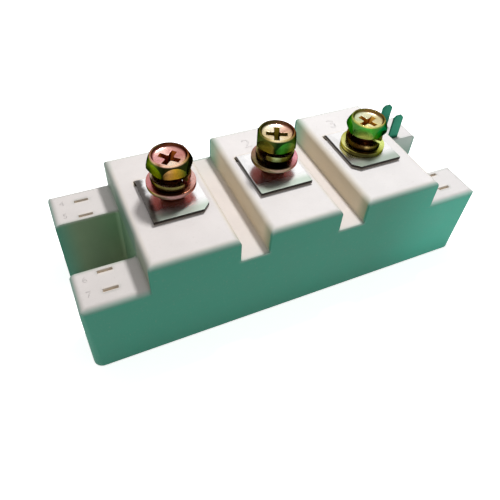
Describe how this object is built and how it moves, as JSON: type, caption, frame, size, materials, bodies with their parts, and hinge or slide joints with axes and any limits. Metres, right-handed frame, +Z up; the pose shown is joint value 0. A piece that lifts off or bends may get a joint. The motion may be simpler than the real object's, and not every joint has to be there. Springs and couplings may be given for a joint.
{
  "type": "igbt power module",
  "caption": "Power semiconductor module in a moulded housing with screw terminals on stepped blocks, blade tabs at one corner and a flat metal base for a heat sink.",
  "frame": {"origin": "centre of the heat sink face, the lowest face of the base plate", "axes": "+X along the module from the left terminal to the right one, +Y across it to the side of the blade tabs, +Z up from the heat sink face"},
  "size_m": [0.094, 0.034, 0.0371],
  "materials": {
    "housing_plastic": "fine matte moulded plastic, glass filled",
    "base_metal": "nickel plated copper, ground flat, satin",
    "adhesive": "cured silicone adhesive",
    "terminal_plating": "bright nickel plating on copper sheet",
    "nut_steel": "plated steel",
    "screw_steel": "yellow-green passivated steel, glossy",
    "spring_steel": "passivated spring steel",
    "washer_steel": "passivated steel with a pink tint",
    "tab_metal": "tinned brass with a green tint",
    "solder": "soft solder",
    "copper": "bare copper",
    "tile_ceramic": "white alumina",
    "silicon": "metallised silicon",
    "ribbon_aluminium": "soft aluminium ribbon",
    "gel": "clear soft silicone gel"
  },
  "bodies": {
    "root": {"housing": "housing_plastic", "base_plate": "base_metal", "adhesive_seal": "adhesive", "main_terminal_left": "terminal_plating", "main_terminal_centre": "terminal_plating", "main_terminal_right": "terminal_plating", "captive_nut_left": "nut_steel", "captive_nut_centre": "nut_steel", "captive_nut_right": "nut_steel", "terminal_screw_left": "screw_steel", "terminal_screw_centre": "screw_steel", "terminal_screw_right": "screw_steel", "spring_washer_left": "spring_steel", "spring_washer_centre": "spring_steel", "spring_washer_right": "spring_steel", "flat_washer_left": "washer_steel", "flat_washer_centre": "washer_steel", "flat_washer_right": "washer_steel", "gate_tab": "tab_metal", "emitter_tab": "tab_metal", "tile_solder_left": "solder", "tile_solder_right": "solder", "bottom_copper_left": "copper", "bottom_copper_right": "copper", "ceramic_tile_left": "tile_ceramic", "ceramic_tile_right": "tile_ceramic", "cathode_pad": "copper", "anode_pad": "copper", "collector_pad": "copper", "emitter_pad": "copper", "gate_pad": "copper", "chip_solder": "solder", "switch_chip_inner": "silicon", "switch_chip_outer": "silicon", "diode_chip_front": "silicon", "diode_chip_back": "silicon", "switch_ribbons": "ribbon_aluminium", "gate_ribbons": "ribbon_aluminium", "diode_ribbons": "ribbon_aluminium", "bridge_link": "copper", "silicone_gel": "gel"}
  },
  "joints": []
}
